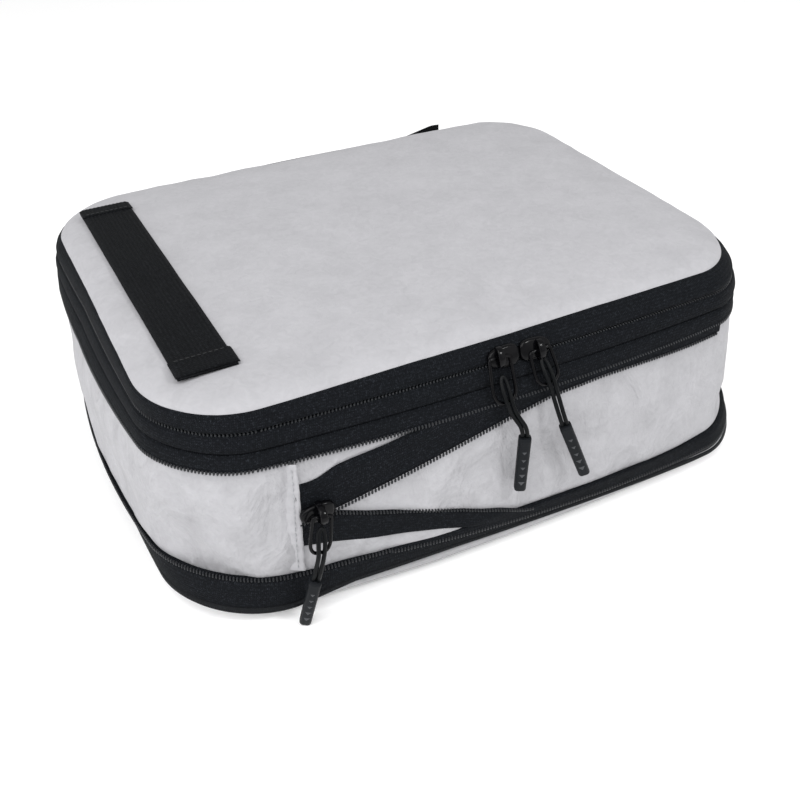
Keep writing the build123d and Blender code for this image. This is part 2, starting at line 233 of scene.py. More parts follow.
def plain(name, base, roughness, grain, strength, **sockets):
    """Moulded or lacquered surface with a fine grain and slightly uneven gloss."""
    m, tree, shader = start_material(name, base, roughness, **sockets)
    place = node(tree, "TexCoord").outputs["Object"]
    fine = noise_of(tree, place, grain, 3)
    wide = noise_of(tree, place, 90, 2)
    bump(tree, shader, fine, strength, 0.0003)
    tree.links.new(
        ramp(tree, add(tree, fine, add(tree, wide, 0.5, "MULTIPLY")),
             (0.45, [c * 0.8 for c in base]), (0.95, [c * 1.35 for c in base])),
        shader.inputs["Base Color"],
    )
    low, high = roughness * 0.85, roughness * 1.2
    gloss = node(tree, "MapRange", [("Value", wide)], To_Min_=low, To_Max_=high)
    tree.links.new(gloss.outputs[0], shader.inputs["Roughness"])
    return m


NYLON = nylon("crinkle_nylon", (0.335, 0.333, 0.348), (0.395, 0.392, 0.41))
# the slack folds of this nylon carry painted shade in their hollows
SLACK = nylon("slack_nylon", (0.335, 0.333, 0.348), (0.395, 0.392, 0.41), wrinkle=1.0)
# a darker copy of the grey nylon for the panel under the cube and the inner faces: painted shade
UNDERSIDE_SHADE_NYLON = nylon("lining", (0.29, 0.29, 0.3), (0.36, 0.36, 0.37))
TAPE = woven("zip_tape", (0.0048, 0.0058, 0.0076), (0.03, 0.034, 0.041), 1250, 900, 0.6, 0.8, 0.08)
EDGE = woven("fold_edge", (0.004, 0.0048, 0.0062), (0.022, 0.025, 0.029), 1250, 900, 0.5, 0.6, 0.15)
ELASTIC = woven("ribbed_elastic", (0.0045, 0.0052, 0.0062), (0.02, 0.022, 0.025), 900, 620, 0.6, 0.72, 0.08)
COIL = plain("coil", (0.008, 0.009, 0.011), 0.3, 900, 0.15, Specular_IOR_Level=0.3)
METAL = plain("black_lacquer", (0.002, 0.002, 0.0025), 0.16, 500, 0.05, Specular_IOR_Level=0.12)
RUBBER = plain("pull_rubber", (0.0055, 0.0065, 0.008), 0.5, 2200, 0.25, Specular_IOR_Level=0.1)
MARK = plain("rubber_marks", (0.035, 0.037, 0.041), 0.5, 2200, 0.25, Specular_IOR_Level=0.3)
CORD = plain("braided_cord", (0.0025, 0.003, 0.0035), 0.32, 1600, 0.4, Specular_IOR_Level=0.1)
THREAD = plain("thread", (0.30, 0.31, 0.32), 0.8, 1500, 0.4)
BLACK_THREAD = plain("black_thread", (0.012, 0.013, 0.014), 0.7, 1500, 0.4)

# ------------------------------------------------------------ the shape of the cube

# height, corner radius, bow of the sides, growth of the outline (mm)
LEVELS = np.array([
    (-3.0, 37.5, 3.0, 2.4),
    (6.9, 37.5, 6.7, 5.9),
    (23.2, 36.8, 13.9, 1.9),
    (75.1, 30.1, 10.1, 0.1),
    (97.7, 37.3, 1.0, -1.0),
]) * MM
HALF = (0.140, 0.102)  # half the outline's length and width
SKEW = (0.08, -0.0267)  # how far the cube leans over, going down
RIGHT_DRAW = (0.066, 0.155, 0.0135)  # the right end is drawn in: from, to, by
BACK_DRAW = (0.01, 0.11, 0.0025)  # and so is the back
SIDE_DRAW = 0.006  # the zip bands tuck in under the lid's edge on the right
TOP_OUT = 0.0026  # the top ring is drawn in less than the wall below it
LEFT_DRAW = 0.003  # the left end of the top ring is drawn in
# how far the lid's front edge stands back at each x
LID_FRONT = ((-0.13, -0.09, -0.05, 0, 0.03, 0.1), (-0.0015, -0.0013, 0, 0.0005, 0.0015, 0.003))
COUNTS = (150, 26, 106)  # points on a long side, a corner and a short side


def ring(z, out):
    """Outline at height z, standing out from the wall; from the front left, towards +X first."""
    at = np.clip(z, LEVELS[0, 0], LEVELS[-1, 0])
    r, bow, grow = (np.interp(at, LEVELS[:, 0], LEVELS[:, k]) for k in (1, 2, 3))
    a, b, r = HALF[0] + grow + out, HALF[1] + grow + out, max(r + out, 0.004)
    long_side, corner, short_side = COUNTS
    turn = np.arange(corner) / corner * math.pi / 2
    run = np.arange(long_side) / long_side
    up = np.arange(short_side) / short_side
    parts = []
    for k, (cx, cy) in enumerate(((a - r, -b + r), (a - r, b - r), (-a + r, b - r), (-a + r, -b + r))):
        if k == 0:
            parts.append(np.stack([-a + r + 2 * (a - r) * run, np.full(long_side, -b)], 1))
        elif k == 1:
            parts.append(np.stack([np.full(short_side, a), -b + r + 2 * (b - r) * up], 1))
        elif k == 2:
            parts.append(np.stack([a - r - 2 * (a - r) * run, np.full(long_side, b)], 1))
        else:
            parts.append(np.stack([np.full(short_side, -a), b - r - 2 * (b - r) * up], 1))
        angle = turn + (k - 1) * math.pi / 2
        parts.append(np.stack([cx + r * np.cos(angle), cy + r * np.sin(angle)], 1))
    p = np.concatenate(parts)
    u, v = p[:, 0] / a, p[:, 1] / b
    drop = LEVELS[-1, 0] - at  # below the seam of the lid
    level_share = np.clip((at - 0.06) / 0.02, 0, 1)
    x = p[:, 0] + bow * u * (1 - v * v) + SKEW[0] * drop
    y = p[:, 1] + bow * v * (1 - u * u) + SKEW[1] * drop
    t = np.clip((x - RIGHT_DRAW[0]) / (RIGHT_DRAW[1] - RIGHT_DRAW[0]), 0, 1)
    x = x - RIGHT_DRAW[2] * t * t * (3 - 2 * t)
    seam = np.clip((at - 0.0935) / 0.004, 0, 1)  # 1 at the lid's seam, 0 below the zip
    behind = np.clip((y + 0.06) / 0.05, 0, 1)
    x = x - SIDE_DRAW * t * behind * (1 - seam) * np.clip((at - 0.07) / 0.012, 0, 1)
    x = x + TOP_OUT * t * np.clip((at - 0.078) / 0.006, 0, 1)
    left = np.clip((-0.1 - x) / 0.03, 0, 1) * np.clip((0.06 - y) / 0.05, 0, 1)
    x = x + LEFT_DRAW * left * level_share * (1 - 0.6 * seam)
    y = y + np.interp(x, *LID_FRONT) * seam * np.clip(-y / 0.05, 0, 1)
    t = np.clip((y - BACK_DRAW[0]) / (BACK_DRAW[1] - BACK_DRAW[0]), 0, 1)
    y = y - BACK_DRAW[2] * t * t * (3 - 2 * t)
    return np.stack([x, y, np.full(len(x), z)], 1)


def finish_mesh(name, verts, faces, material, body=None, uv=None, slot=None, smooth=True):
    """A mesh piece with its material and the body it rides on; the slot argument is not used."""
    mesh = bpy.data.meshes.new(name)
    mesh.from_pydata([tuple(map(float, v)) for v in verts], [], faces)
    if uv is not None:
        layer = mesh.uv_layers.new(name="UVMap")
        index = np.zeros(len(mesh.loops), int)
        mesh.loops.foreach_get("vertex_index", index)
        layer.data.foreach_set("uv", np.asarray(uv, float)[index].ravel())
    mesh.polygons.foreach_set("use_smooth", [smooth] * len(mesh.polygons))
    mesh.materials.append(material)
    o = bpy.data.objects.new(name, mesh)
    bpy.context.collection.objects.link(o)
    if body:
        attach(o, body)
    return o


def lengths(points):
    """Distance run at each point of a polyline."""
    step = np.linalg.norm(np.diff(points, axis=0), axis=1)
    return np.concatenate([[0], np.cumsum(step)])


def skin(name, rows, material, closed=True, cap=False, **more):
    """A surface through rows of points, low to high; closed goes round the cube, cap fills the last row."""
    if closed:
        rows = [np.vstack([r, r[:1]]) for r in rows]  # the first column twice, for the UV seam
    rows = np.array(rows)
    count, width = rows.shape[:2]
    u = lengths(rows[count // 2])
    v = lengths(rows[:, width // 3])
    uv = np.stack(np.broadcast_arrays(u[None, :], v[:, None]), -1).reshape(-1, 2)
    faces = [
        (j * width + i, j * width + i + 1, (j + 1) * width + i + 1, (j + 1) * width + i)
        for j in range(count - 1)
        for i in range(width - 1)
    ]
    if cap:
        faces.append(tuple((count - 1) * width + i for i in range(width - 1)))
    return finish_mesh(name, rows.reshape(-1, 3), faces, material, uv=uv, **more)


def band(name, section, material, **more):
    """A tape round the cube from its section: (height mm, stand-out mm), low to high."""
    return skin(name, [ring(z * MM, out * MM) for z, out in section], material, **more)


PITCH = 1.42 * MM  # from one coil tooth to the next


def teeth(name, path, below, size, **more):
    """Coil teeth (width, thickness, length in mm) along a path; below is where they point."""
    s = lengths(path)
    at = np.arange(PITCH / 2, s[-1] - PITCH / 2, PITCH)
    p = np.stack([np.interp(at, s, path[:, k]) for k in range(3)], 1)
    q = np.stack([np.interp(at, s, below[:, k]) for k in range(3)], 1)
    ahead = np.stack([np.interp(at + PITCH / 4, s, path[:, k]) for k in range(3)], 1)
    t = ahead - p
    t /= np.linalg.norm(t, axis=1)[:, None]
    d = q - p
    d /= np.linalg.norm(d, axis=1)[:, None]
    n = np.cross(d, t)
    n /= np.linalg.norm(n, axis=1)[:, None]
    width, thick, long = (k * MM for k in size)
    verts, faces = [], []
    angles = [k * math.pi / 3 for k in range(6)]
    for reach, share in ((0, 0.8), (0.3, 1.0), (0.75, 0.95), (1.0, 0.5)):
        for angle in angles:
            sideways = t * (width / 2 * share * math.cos(angle))
            verts.append(p + d * long * reach + sideways + n * (thick / 2 * share * math.sin(angle)))
    verts = np.stack(verts, 1)  # teeth x 24 x 3
    for m in range(len(p)):
        o = m * 24
        for a in range(3):
            for b in range(6):
                c = (b + 1) % 6
                faces.append((o + a * 6 + b, o + a * 6 + c, o + a * 6 + 6 + c, o + a * 6 + 6 + b))
        faces.append(tuple(o + k for k in range(5, -1, -1)))
        faces.append(tuple(o + 18 + k for k in range(6)))
    return finish_mesh(name, verts.reshape(-1, 3), faces, COIL, slot="zip_coil", **more)


def front(x, z, out):
    """Point on the front wall at x, z (mm), standing out (mm)."""
    line = ring(z * MM, out * MM)[: COUNTS[0] + COUNTS[1]]
    return np.array([x * MM, np.interp(x * MM, line[:, 0], line[:, 1]), z * MM])


def smooth_line(points, count):
    """Even points on a polyline given in mm, smoothed at its corners."""
    p = np.array(points, float)
    s = np.concatenate([[0], np.cumsum(np.linalg.norm(np.diff(p, axis=0), axis=1))])
    at = np.linspace(0, s[-1], count)
    line = np.stack([np.interp(at, s, p[:, k]) for k in range(2)], 1)
    for _ in range(3):
        line[1:-1] = (line[:-2] + 2 * line[1:-1] + line[2:]) / 4
    return line


def patch(name, low, high, out, material, **more):
    """A strip on the front wall between two edges given as (x, z) in mm."""
    rows, cols = 14, 120
    a, b = smooth_line(low, cols), smooth_line(high, cols)
    grid = []
    for j in range(rows):
        t = j / (rows - 1)
        lift = out * (1 - (2 * t - 1) ** 8) + 0.1
        grid.append(np.array([front(*(a[i] * (1 - t) + b[i] * t), lift) for i in range(cols)]))
    return skin(name, grid, material, closed=False, **more)


# ------------------------------------------------------------ cloth of the side wall


def pucker(x, y, z):
    """How far the cloth stands in or out at a point of the wall, in mm."""
    p = Vector((x * 18, y * 18, z * 26))
    soft = noise.noise(p) * 1.5 + noise.noise(p * 2.3) * 0.9
    slant = Vector((x * 34 + z * 30, y * 34, z * 12))
    crease = -abs(noise.noise(slant)) * 2.4 + 0.6
    near_corner = math.exp(-(((x + 0.125) / 0.03) ** 2)) * (1 if y < -0.05 else 0.3)
    low = math.exp(-(((z - 0.033) / 0.012) ** 2))
    return soft * 0.8 + crease * (0.35 + 0.9 * near_corner + 0.5 * low)


GUSSET_ROWS = 44
rows = []
for j in range(GUSSET_ROWS):
    t = j / (GUSSET_ROWS - 1)
    z = (15.5 + 62.5 * t) * MM
    edge = min(1.0, 6 * t * (1 - t) * 1.6)
    base = ring(z, (-0.9 + 1.3 * math.sin(math.pi * t)) * MM)
    outer = ring(z, (-0.9 + 1.3 * math.sin(math.pi * t) + 1) * MM)
    normal = (outer - base) / MM
    move = np.array([min(pucker(*p), 1.0) for p in base]) * edge * 1.15 * MM
    rows.append(base + normal * move[:, None])
gusset = skin("gusset_cloth", rows, SLACK, slot="grey_nylon")
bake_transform(gusset)
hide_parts("gusset_lower", "gusset_middle", "gusset_upper")

# ------------------------------------------------------------ bottom

# the light panel under the cube, turned up at its edge
pan = [
    (10.5, -2.5, -2.5), (9.0, -1.2, 0.3), (7.5, -0.8, 0.8), (5.4, -0.8, 0.9), (3.4, -2.2, 0.1),
    (1.7, -4.6, -1.8), (0.5, -8.0, -5.2), (0.0, -13.0, -10.0),
]  # height, stand-out where the panel is tucked in, and along the front right where it sags out


def sag_share(points):
    """How much of the sagging edge each point of an outline has."""
    return np.clip((points[:, 0] + 0.09) / 0.05, 0, 1) * np.clip(-points[:, 1] / 0.05, 0, 1)


rows = []
for z, tucked, sagging in reversed(pan):
    near, far = ring(z * MM, tucked * MM), ring(z * MM, sagging * MM)
    share = sag_share(near)[:, None]
    rows.append(near * (1 - share) + far * share)
flat_rows = [ring(0.0, -k * MM) for k in (96, 70, 40, 20)]
# the panel under the cube takes the darker nylon: painted shade
bottom = skin("bottom_cloth", flat_rows + rows, UNDERSIDE_SHADE_NYLON, body="base", slot="grey_nylon")
inner = [(6.9, -2.5), (5.0, -5.0), (3.2, -9.0), (2.8, -30.0), (2.8, -60.0), (2.8, -96.0)]
inner_rows = [ring(z * MM, out * MM) for z, out in inner]
skin("bottom_lining", inner_rows, UNDERSIDE_SHADE_NYLON, body="base", slot="grey_nylon", cap=True)
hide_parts("bottom_panel")

# how far (mm) the band's lower edge is lifted at each x
LOW_LIFT = ((-0.1, -0.075, -0.03, 0.02, 0.1), (0, 4, 4, 2.4, -0.8))


def low_ring(z, out):
    """Ring of the bottom band, whose two edges draw together along the front right."""
    row = ring(z * MM, out * MM)
    lift = np.interp(row[:, 0], *LOW_LIFT) * np.clip(-row[:, 1] / 0.05, 0, 1)
    row[:, 2] += lift * np.interp(z, (6, 9, 17), (1, 0.9, 0)) * MM
    share = np.clip((row[:, 0] + 0.07) / 0.13, 0, 1) * np.clip(-row[:, 1] / 0.05, 0, 1)
    row[:, 2] -= share * np.interp(z, (17, 23), (0, 2.2)) * MM
    right = np.clip(row[:, 0] / 0.09, 0, 1) * np.clip(-row[:, 1] / 0.05, 0, 1)
    row[:, 2] -= right * np.interp(z, (17, 23), (0, 2)) * MM
    return row


edge_section = [(6.3, -1.5), (6.0, 0.0), (6.3, 1.1), (7.4, 1.5), (8.6, 1.1), (9.1, 0.2)]
piping = skin("bottom_edge_tape", [low_ring(*p) for p in edge_section], EDGE, body="base", slot="zip_tape")
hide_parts("bottom_piping")
band_section = [
    (8.9, -0.4), (9.2, 0.7), (10.4, 1.1), (13.0, 1.3), (17.0, 1.3), (20.5, 1.2), (22.3, 1.0), (22.9, 0.5),
    (22.9, -0.9),
]
low_band = skin("bottom_band_tape", [low_ring(*p) for p in band_section], TAPE, body="base", slot="zip_tape")
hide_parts("bottom_band", "compression_tape_lower")

# ------------------------------------------------------------ top bands

third = band(
    "compression_band_tape",
    [(76.6, -1.6), (75.4, -0.8), (74.9, 0.3), (75.5, 1.0), (78.0, 1.7), (80.5, 1.8), (81.9, 1.4), (82.5, 0.5),
     (82.7, -0.4)],
    TAPE, body="upper", slot="zip_tape",
)
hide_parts("compression_tape_upper")
second = band(
    "main_zip_body_tape",
    [(82.3, -0.4), (82.6, 0.9), (83.3, 1.8), (85.0, 2.3), (87.2, 2.4), (88.8, 2.1), (89.5, 1.5), (89.8, 0.2),
     (89.8, -1.2)],
    TAPE, body="upper", slot="zip_tape",
)
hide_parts("main_zip_tape_body")
first = band(
    "main_zip_lid_tape",
    [(90.4, -1.2), (90.4, 0.2), (90.7, 1.5), (91.4, 2.1), (93.0, 2.3), (95.3, 1.9), (97.0, 1.0), (98.0, 0.2),
     (98.2, -1.5)],
    TAPE, body="lid", slot="zip_tape",
)
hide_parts("main_zip_tape_lid")


def closed_ring(z, out):
    """The outline at z, out (mm), with its first point again at the end."""
    r = ring(z * MM, out * MM)
    return np.vstack([r, r[:1]])


low_teeth = teeth(
    "main_coil_body", closed_ring(89.4, 1.1), closed_ring(90.4, 1.1), (0.95, 1.1, 1.0), body="upper"
)
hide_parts("main_zip_coil_body")
top_teeth = teeth(
    "main_coil_lid", closed_ring(90.9, 1.1), closed_ring(89.9, 1.1), (0.8, 0.9, 0.7), body="lid"
)
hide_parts("main_zip_coil_lid")
edge_teeth = teeth(
    "compression_coil_top", closed_ring(76.2, 1.2), closed_ring(74.9, 0.9), (1.05, 1.1, 1.8),
    body="upper",
)
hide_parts("compression_coil_upper")


def lower_row(x, y):
    """Height (mm) of the lower coil: it drops along the front and climbs again at the back."""
    if y < 0 and x > -0.06:
        return float(np.interp(x * 1000, (-60, -28, 1, 44, 90, 140), (22.0, 18.2, 15.7, 12.5, 11.2, 11.2)))
    if x > 0.13:
        return 11.2
    if y > 0:
        return float(np.interp(x * 1000, (-100, 120), (23.0, 11.2)))
    return 23.0


def row_at(offset, out):
    """The line of the lower coil's teeth, offset from its height and standing out (mm)."""
    flat = closed_ring(20, out)
    heights = [lower_row(p[0], p[1]) + offset for p in flat]
    return np.array([closed_ring(h, out)[i] for i, h in enumerate(heights)])


base_teeth = teeth(
    "compression_coil_bottom", row_at(-0.9, 1.3), row_at(0.9, 1.1), (0.85, 1.1, 1.7), body="base"
)
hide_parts("compression_coil_lower")

# ------------------------------------------------------------ start of the compression zip

# edges of the two slanting tapes on the front wall: (x, height) in mm
TAPE_UP_LOW = [
    (-95, 47), (-88, 48.5), (-80, 50), (-60, 55), (-50, 57.5), (-22, 64.5), (-3, 69), (15, 72.5), (40, 73.5),
    (60, 73), (88, 72), (106, 72),
]
TAPE_UP_HIGH = [
    (-95, 64.5), (-90, 64), (-87, 64.5), (-83, 66), (-79, 68.5), (-71, 70), (-57, 72), (-45, 74.5),
    (-36, 78), (0, 78), (40, 78), (106, 78),
]
TAPE_LOW_HIGH = [
    (-95, 49), (-88, 48.5), (-80, 47.5), (-68, 43.5), (-52, 39), (-28, 31.5), (-19, 28), (-10, 25),
    (2, 20), (14, 17),
]
TAPE_LOW_LOW = [(-95, 35.5), (-83, 34), (-70, 31), (-53, 28.5), (-37, 25), (-22, 20.5), (0, 17), (12, 15.5)]


def shift(points, rise):
    """The same (x, z) points, raised."""
    return [(x, z + rise) for x, z in points]


def on_front(points, out):
    """A line of 240 points on the front wall."""
    return np.array([front(x, z, out) for x, z in smooth_line(points, 240)])


def across(piece):
    """Cloth on the front wall between the bottom and the upper ring: bakes its placement in and leaves it on
    no body.
    """
    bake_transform(piece)
    return piece


BACKING = 0.9  # how far the tape reaches behind its teeth
up_edge = shift(TAPE_UP_LOW, -BACKING)
up_tape = across(patch("start_tape_up", up_edge, TAPE_UP_HIGH, 1.3, TAPE, slot="zip_tape"))
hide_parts("start_tape_upper")
low_edge = shift(TAPE_LOW_HIGH, BACKING)
low_tape = across(patch("start_tape_down", TAPE_LOW_LOW, low_edge, 1.3, TAPE, slot="zip_tape"))
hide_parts("start_tape_lower")
START_TEETH = (1.05, 1.1, 1.4)
up_line, up_below = on_front(TAPE_UP_LOW, 1.4), on_front(shift(TAPE_UP_LOW, -2), 1.2)
up_coil = across(teeth("start_coil_up", up_line, up_below, START_TEETH))
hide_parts("start_coil_upper")
shown = slice(0, 225)  # the last points run behind the bottom band
low_line, low_above = on_front(TAPE_LOW_HIGH, 1.4)[shown], on_front(shift(TAPE_LOW_HIGH, 2), 1.2)[shown]
low_coil = across(teeth("start_coil_down", low_line, low_above, START_TEETH))
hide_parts("start_coil_lower")

flap_right = [(-95, 25), (-94, 45), (-93, 65), (-93, 74.5)]
flap_left = [(-101, 25), (-100, 45), (-98, 65), (-97.5, 74.5)]
left_side, right_side = smooth_line(flap_left, 60), smooth_line(flap_right, 60)
flap_rows = []
for t, lift in ((0, -1.2), (0.2, 0.0), (0.5, 1.0), (0.8, 1.7), (0.97, 1.9), (1.0, 1.4), (0.97, 0.2)):
    line = left_side * (1 - t) + right_side * t
    flap_rows.append(
        np.array([front(x, z, lift + 0.15 * math.sin(i * 0.9)) for i, (x, z) in enumerate(line)])
    )
flap = across(skin("seam_flap_cloth", flap_rows[::-1], NYLON, closed=False, slot="grey_nylon"))
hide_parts("seam_flap")


def stitches(name, line, pitch, long, material, **more):
    """A row of thread stitches along a line of points."""
    half_wide = 0.35 / 2 * MM
    s = lengths(line)
    verts, faces = [], []
    for start in np.arange(pitch / 2, s[-1] - long, pitch):
        a, b = (np.array([np.interp(start + d, s, line[:, k]) for k in range(3)]) for d in (0, long))
        t = (b - a) / np.linalg.norm(b - a)
        side = np.cross(t, (0.2, -0.6, 0.75))
        side /= np.linalg.norm(side)
        lift = np.cross(side, t)
        o = len(verts)
        for reach, share in ((0, 0.3), (0.25, 1), (0.75, 1), (1, 0.3)):
            for k in range(5):
                angle = k * math.tau / 5
                around = side * math.cos(angle) + lift * math.sin(angle)
                verts.append(a + (b - a) * reach + around * half_wide * share)
        for j in range(3):
            for k in range(5):
                m = (k + 1) % 5
                faces.append((o + j * 5 + k, o + j * 5 + m, o + j * 5 + 5 + m, o + j * 5 + 5 + k))
    return finish_mesh(name, verts, faces, material, **more)


middle = (left_side * 0.45 + right_side * 0.55)
stitch_line = np.array([front(x, z, 1.35) for x, z in middle])
across(stitches("flap_stitches", stitch_line, 2.6 * MM, 1.9 * MM, THREAD, slot="grey_nylon"))

# ------------------------------------------------------------ lid

# (inset from the outline, height) in mm, from the seam to the middle
LID = [
    (-0.3, 97.3), (0.0, 98.1), (0.8, 99.2), (2.2, 100.3), (4.5, 101.4), (7.5, 102.2), (12, 102.9),
    (18, 103.4), (26, 103.8), (36, 104.1), (50, 104.3), (66, 104.4), (82, 104.4), (97, 104.4),
]
dense = []  # the same line in steps of about 2.2 mm
for (i0, z0), (i1, z1) in zip(LID, LID[1:]):
    steps = max(1, int((i1 - i0) / 2.2))
    dense += [(i0 + (i1 - i0) * k / steps, z0 + (z1 - z0) * k / steps) for k in range(steps)]
dense.append(LID[-1])
under = [(97, 98.6), (60, 98.6), (20, 98.4), (6, 98.0), (1.5, 97.5)]
lid_rows = []
for inset, z in dense:
    row = ring(0.0977, -inset * MM)
    row[:, 2] = z * MM
    for p in row:
        q = Vector((p[0] * 22, p[1] * 22, 0))
        wave = noise.noise(q) * 0.55 + noise.noise(q * 2.1 + Vector((7, 3, 1))) * 0.3
        rim = math.exp(-(((inset - 9) / 9) ** 2))
        fold = -abs(noise.noise(Vector((p[0] * 60, p[1] * 60, 4.0)))) * 0.9 * rim
        p[2] += (wave * min(1, inset / 6 + 0.15) + fold) * MM
    lid_rows.append(row)
lid = skin("lid_cloth", lid_rows, NYLON, body="lid", slot="grey_nylon", cap=True)
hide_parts("lid_panel")
under_rows = []
for inset, z in under[::-1]:
    row = ring(0.0977, -inset * MM)
    row[:, 2] = z * MM
    under_rows.append(row)
skin("lid_lining", under_rows, UNDERSIDE_SHADE_NYLON, body="lid", slot="grey_nylon", cap=True)

# ------------------------------------------------------------ strap and rear handle


def close_up(o):
    """Joins the doubled points of a piece and closes its open ends."""
    b = bmesh.new()
    b.from_mesh(o.data)
    bmesh.ops.remove_doubles(b, verts=b.verts, dist=1e-6)
    bmesh.ops.holes_fill(b, edges=[e for e in b.edges if e.is_boundary], sides=0)
    b.to_mesh(o.data)
    b.free()


def ribbon(name, centre, side, up, width, thick, body, ribs):
    """A flat elastic strap along a line: its section has rounded edges and shallow ribs."""
    steps = 53
    section = []
    for k in range(steps):
        t = -1 + 2 * k / (steps - 1)
        edge = 1 - abs(t) ** 14
        section.append((t * width / 2, thick * edge + ribs * edge * abs(math.sin(t * math.pi * 6.5))))
    section += [(width / 2 * t, 0.0) for t in (0.98, 0.5, 0, -0.5, -0.98)]
    rows = []
    for x, h in section:
        rows.append(centre + side * x + up * h)
    rows.append(rows[0])
    o = skin(name, rows, ELASTIC, closed=False, body=body, slot="black_webbing")
    close_up(o)
    return o


def lid_top(x, y):
    """Height of the lid cloth under a point."""
    best = bpy.data.objects["lid_cloth"].ray_cast(Vector((x, y, 0.2)), Vector((0, 0, -1)))
    return best[1].z if best[0] else 0.1065


STRAP_POINTS = 90
bpy.context.view_layer.update()
back_end, front_end = np.array((-0.1162, 0.0745)), np.array((-0.1130, -0.0812))
direction = (front_end - back_end) / np.linalg.norm(front_end - back_end)
side = np.array((-direction[1], direction[0], 0.0))
points = []
for k in range(STRAP_POINTS):
    p = back_end + (front_end - back_end) * k / (STRAP_POINTS - 1)
    heights = [lid_top(p[0] + s * side[0] * 0.011, p[1] + s * side[1] * 0.011) for s in (-1, 0, 1)]
    points.append((p[0], p[1], max(heights) + 0.0003))
points = np.array(points)
smooth_z = points[:, 2].copy()
for _ in range(12):
    smooth_z[1:-1] = (smooth_z[:-2] + smooth_z[2:] + 2 * smooth_z[1:-1]) / 4
points[:, 2] = np.maximum(smooth_z, points[:, 2])
UP = np.array((0, 0, 1.0))
strap = ribbon("lid_strap", points, side * -1, UP, 0.0232, 0.0013, "lid", ribs=0.00035)
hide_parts("handle_strap")
HEM_LIFT = 0.0011
ribbon("strap_hem_front", points[-7:] + UP * HEM_LIFT, side * -1, UP, 0.0245, 0.0010, "lid", ribs=0.0002)
ribbon("strap_hem_back", points[:6] + UP * HEM_LIFT, side * -1, UP, 0.0236, 0.0008, "lid", ribs=0.0002)
for k, name in ((-6, "strap_stitch_front"), (5, "strap_stitch_back")):
    line = np.array([points[k] + side * s + UP * 0.0027 for s in np.linspace(-0.0112, 0.0112, 12)])
    stitches(name, line, 2.2 * MM, 1.6 * MM, BLACK_THREAD, body="lid", slot="black_webbing")

# the webbing bows out in the middle, and its right end stands higher
low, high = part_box("rear_handle")
xs = np.linspace(low.x, high.x, 80)
sag = 1 - (xs / high.x) ** 2
xs = xs + 0.009 * np.linspace(0, 1, 80)
rise = np.clip((xs - 0.062) / 0.022, 0, 1)
ys = high.y - 0.0062 + 0.0045 * sag + 0.004 * rise
centre = np.stack([xs, ys, (low.z + high.z) / 2 + 0.0035 * rise], 1)
BACKWARDS = np.array((0, 1.0, 0))
handle = ribbon("rear_handle_webbing", centre, UP, BACKWARDS, 0.0245, 0.0014, "upper", ribs=0.0003)
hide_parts("rear_handle")

# ------------------------------------------------------------ zip runners


def tube(name, points, radius, material, body, closed=False):
    """A round wire or cord drawn along points."""
    curve = bpy.data.curves.new(name, "CURVE")
    curve.dimensions = "3D"
    spline = curve.splines.new("NURBS")
    spline.points.add(len(points) - 1)
    for p, q in zip(spline.points, points):
        p.co = (*q, 1)
    spline.order_u = 3
    spline.use_cyclic_u = closed
    spline.use_endpoint_u = not closed
    curve.bevel_depth = radius
    curve.bevel_resolution = 4
    curve.resolution_u = 10
    curve.use_fill_caps = True
    o = bpy.data.objects.new(name, curve)
    bpy.context.collection.objects.link(o)
    curve.materials.append(material)
    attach(o, body)
    return o


def loft(name, stations, material, body, slot):
    """A closed solid through stations of the same number of points."""
    width = len(stations[0])
    verts = [p for s in stations for p in s]
    faces = []
    for j in range(len(stations) - 1):
        for i in range(width):
            k = (i + 1) % width
            faces.append((j * width + i, j * width + k, (j + 1) * width + k, (j + 1) * width + i))
    faces.append(tuple(range(width - 1, -1, -1)))
    faces.append(tuple((len(stations) - 1) * width + i for i in range(width)))
    return finish_mesh(name, verts, faces, material, body=body, slot=slot)


def rounded(hx, hy, r, n):
    """A rectangle of half sizes hx, hy with rounded corners of n steps."""
    out = []
    for k, (sx, sy) in enumerate(((1, 1), (-1, 1), (-1, -1), (1, -1))):
        for m in range(n + 1):
            a = (k + m / n) * math.pi / 2
            out.append((sx * (hx - r) + r * math.cos(a), sy * (hy - r) + r * math.sin(a)))
    return out


def solid(name, outline_at, frame_axes, origin, material, body, slot):
    """Stations (height, outline) turned into a solid in the given axes."""
    x, y, z = frame_axes
    stations = []
    for h, outline in outline_at:
        stations.append([tuple(origin + x * (p * MM) + y * (q * MM) + z * (h * MM)) for p, q in outline])
    return loft(name, stations, material, body, slot)


def slider_outline(grow, flip):
    """Outline of a slider plate in mm, wider at one end; flip turns it round."""
    points = []
    for k in range(28):
        a = k * math.tau / 28
        px = math.copysign(abs(math.cos(a)) ** 0.75, math.cos(a)) * (7.0 + grow)
        wide = 4.3 + 0.7 * flip * math.cos(a)
        py = math.copysign(abs(math.sin(a)) ** 0.75, math.sin(a)) * (wide + grow)
        points.append((px, py))
    return points


def slider_crown(name, centre, pivot, axes, body):
    """The bridge on a slider plate that the hoop hangs from."""
    x, up, n = axes
    reach = (pivot - centre).dot(n) / MM
    shift_up = (pivot - centre).dot(up) / MM
    shift_x = (pivot - centre).dot(x)
    steps = 16
    arch = []
    for k in range(steps + 1):
        a = math.pi * k / steps
        arch.append((shift_up - 3.6 * math.cos(a), max(0.8, 1.2 + (reach + 0.9) * math.sin(a) ** 0.7)))
    stations = []
    for k, (rise, height) in enumerate(arch):
        a = arch[max(k - 1, 0)]
        b = arch[min(k + 1, steps)]
        t = Vector((0, b[0] - a[0], b[1] - a[1])).normalized()
        nn = Vector((0, -t.z, t.y))
        section = []
        for px, py in rounded(1.5 - 0.35 * abs(k - 8) / 8, 0.75, 0.5, 3):
            place = centre + x * (shift_x + px * MM)
            place = place + up * ((rise + nn.y * py) * MM) + n * ((height + nn.z * py) * MM)
            section.append(tuple(place))
        stations.append(section)
    loft(name, stations, METAL, body, "slider_metal")


